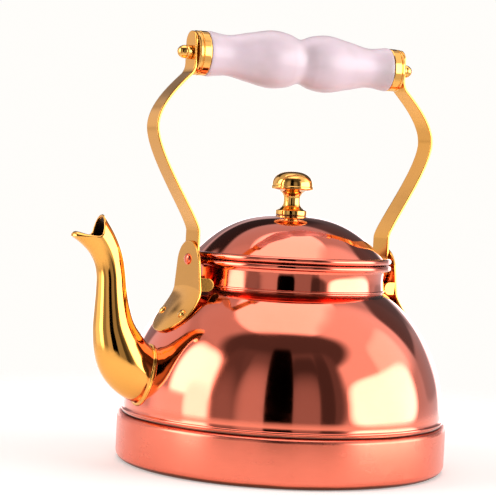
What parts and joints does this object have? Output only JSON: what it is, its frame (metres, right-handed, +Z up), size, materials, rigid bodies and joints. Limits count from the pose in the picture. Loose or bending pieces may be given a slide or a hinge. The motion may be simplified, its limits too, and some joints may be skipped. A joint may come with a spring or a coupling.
{
  "type": "stovetop kettle",
  "caption": "Domed copper stovetop kettle with brass swan-neck spout, lift-off lid with mushroom knob and swinging bail handle with an oval porcelain grip.",
  "frame": {"origin": "centre of the flat underside", "axes": "+Z up; the spout points along -X; the upright handle stands in the XZ plane"},
  "size_m": [0.2424, 0.2, 0.2617],
  "materials": {
    "satin_copper": "satin copper sheet with fine turning lines",
    "polished_copper": "mirror-polished lacquered copper",
    "rivet_copper": "polished copper rivet head",
    "spout_brass": "mirror-polished brass",
    "sheet_brass": "polished rolled brass strip",
    "turned_brass": "polished turned brass",
    "porcelain": "glossy white glaze",
    "steel": "plain machined steel",
    "cork": "pressed cork"
  },
  "bodies": {
    "kettle": {"base_pan": "satin_copper", "dome_shell": "polished_copper", "neck_collar": "polished_copper", "spout": "spout_brass", "bracket_front": "sheet_brass", "bracket_rear": "sheet_brass", "foot_rivet_front_right": "turned_brass", "foot_rivet_front_left": "turned_brass", "foot_rivet_rear_right": "turned_brass", "foot_rivet_rear_left": "turned_brass", "pivot_rivet_front": "rivet_copper", "pivot_rivet_rear": "rivet_copper"},
    "lid": {"lid_shell": "polished_copper", "lid_locating_ring": "polished_copper", "lid_knob": "turned_brass", "knob_washer": "turned_brass", "knob_screw": "steel"},
    "handle": {"handle_strap_front": "sheet_brass", "handle_strap_rear": "sheet_brass", "pivot_washer_front": "turned_brass", "pivot_washer_rear": "turned_brass", "grip_ferrule_front": "turned_brass", "grip_ferrule_rear": "turned_brass", "cushion_washer_front": "cork", "cushion_washer_rear": "cork", "acorn_nut_front": "turned_brass", "acorn_nut_rear": "turned_brass", "grip": "porcelain", "tie_rod": "steel"}
  },
  "joints": [
    {"name": "lid_lift", "type": "slide", "parent": "kettle", "child": "lid", "axis": [0, 0, 1], "range_m": [0, 0.04]},
    {"name": "handle_swing", "type": "hinge", "parent": "kettle", "child": "handle", "pos_m": [0, 0, 0.1227], "axis": [1, 0, 0], "range_deg": [-94, 94]}
  ]
}
